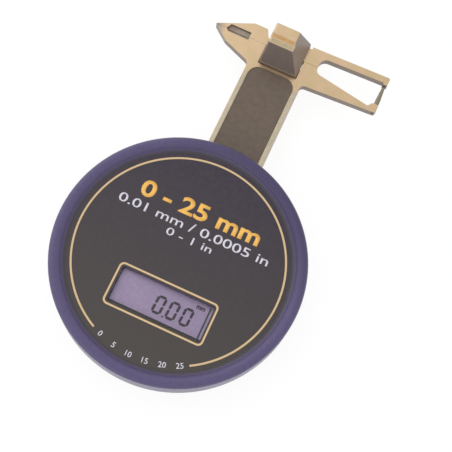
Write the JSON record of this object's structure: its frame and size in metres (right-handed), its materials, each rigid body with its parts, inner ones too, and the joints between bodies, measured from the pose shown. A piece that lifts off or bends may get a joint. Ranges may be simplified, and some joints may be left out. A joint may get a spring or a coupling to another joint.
{
  "type": "digital gemstone gauge",
  "caption": "Pocket gauge with a round display case, a flat arm, a beak jaw, a needle frame and a thumb block that slides the moving jaw open.",
  "frame": {"origin": "on the axis of the round case, in the plane of the flat underside that the gauge lies on", "axes": "+Z comes out of the display, +Y runs along the arm from the case to the jaws, +X points to the side of the needle"},
  "size_m": [0.0604, 0.098, 0.015],
  "materials": {
    "case_plastic": "glossy dark violet-blue moulded plastic",
    "panel_print": "near-black printed sheet, satin",
    "clear_window": "clear window",
    "display": "grey liquid crystal display",
    "black_plastic": "black moulded plastic",
    "connector_rubber": "layered connector rubber",
    "board": "green solder mask on glass fibre",
    "ceramic": "fired ceramic",
    "copper": "copper track",
    "nickel": "nickel plated",
    "cover_plastic": "dark moulded plastic",
    "button_plastic": "glossy black plastic",
    "screw_steel": "zinc plated steel",
    "gold_aluminium": "pale gold anodised, satin",
    "cover_strip": "dark brown-grey anodised strip",
    "bar_steel": "ground steel",
    "spring_wire": "spring steel wire",
    "plate_aluminium": "plain aluminium plate",
    "brass": "turned brass"
  },
  "bodies": {
    "case": {"back_shell": "case_plastic", "front_shell": "case_plastic", "face_panel": "panel_print", "window_lens": "clear_window", "lcd_glass": "display", "lcd_holder": "black_plastic", "zebra_strips": "connector_rubber", "circuit_board": "board", "controller_chip": "black_plastic", "quartz_crystal": "nickel", "capacitors": "ceramic", "encoder_stator": "copper", "tact_switches": "black_plastic", "battery_holder": "black_plastic", "button_cell": "nickel", "cell_spring": "nickel", "case_screws": "screw_steel", "board_screws": "screw_steel", "arm_screws": "screw_steel", "movement_screws": "screw_steel", "bridge_screws": "screw_steel", "fixed_jaw": "gold_aluminium", "jaw_needle": "bar_steel", "arm_cover": "cover_strip", "movement_plate": "plate_aluminium", "guide_rails": "black_plastic", "gear_bridge": "brass", "bridge_pillars": "brass", "lower_bushes": "brass", "upper_bushes": "brass", "spring_anchor": "bar_steel", "return_spring": "spring_wire"},
    "slide": {"slide_bar": "bar_steel", "moving_jaw": "gold_aluminium", "thumb_block": "gold_aluminium", "jaw_screws": "screw_steel", "spring_lug": "bar_steel"},
    "wheel": {"wheel_arbor": "bar_steel", "rack_pinion": "bar_steel", "encoder_wheel": "brass"},
    "rotor": {"rotor_arbor": "bar_steel", "rotor_pinion": "bar_steel", "encoder_rotor": "plate_aluminium"},
    "cover": {"battery_cover": "cover_plastic", "cover_contact": "nickel"},
    "button_one": {"power_button": "button_plastic"},
    "button_two": {"zero_button": "button_plastic"}
  },
  "joints": [
    {"name": "jaw_slide", "type": "slide", "parent": "case", "child": "slide", "axis": [0, 1, 0], "range_m": [0, 0.025], "stiffness_N_per_m": 25, "springref_m": -0.008, "deforming": ["return_spring"]},
    {"name": "wheel_spin", "type": "hinge", "parent": "case", "child": "wheel", "pos_m": [0.00702, 0.004, 0], "axis": [0, 0, 1], "range_deg": [-512, 1]},
    {"name": "rotor_spin", "type": "hinge", "parent": "case", "child": "rotor", "pos_m": [0.01202, -0.00466, 0], "axis": [0, 0, 1], "range_deg": [-1, 2048]},
    {"name": "battery_cover_turn", "type": "hinge", "parent": "case", "child": "cover", "pos_m": [-0.0163, -0.004, 0], "axis": [0, 0, 1], "range_deg": [0, 60]},
    {"name": "power_button_press", "type": "slide", "parent": "case", "child": "button_one", "axis": [0.829, -0.5592, 0], "range_m": [0, 0.0004], "stiffness_N_per_m": 400, "springref_m": -0.0005},
    {"name": "zero_button_press", "type": "slide", "parent": "case", "child": "button_two", "axis": [0.9703, -0.2419, 0], "range_m": [0, 0.0004], "stiffness_N_per_m": 400, "springref_m": -0.0005}
  ],
  "couplings": [
    {"joint": "wheel_spin", "follows": "jaw_slide", "rad_per_m": -357.14},
    {"joint": "rotor_spin", "follows": "jaw_slide", "rad_per_m": 1428.6}
  ]
}
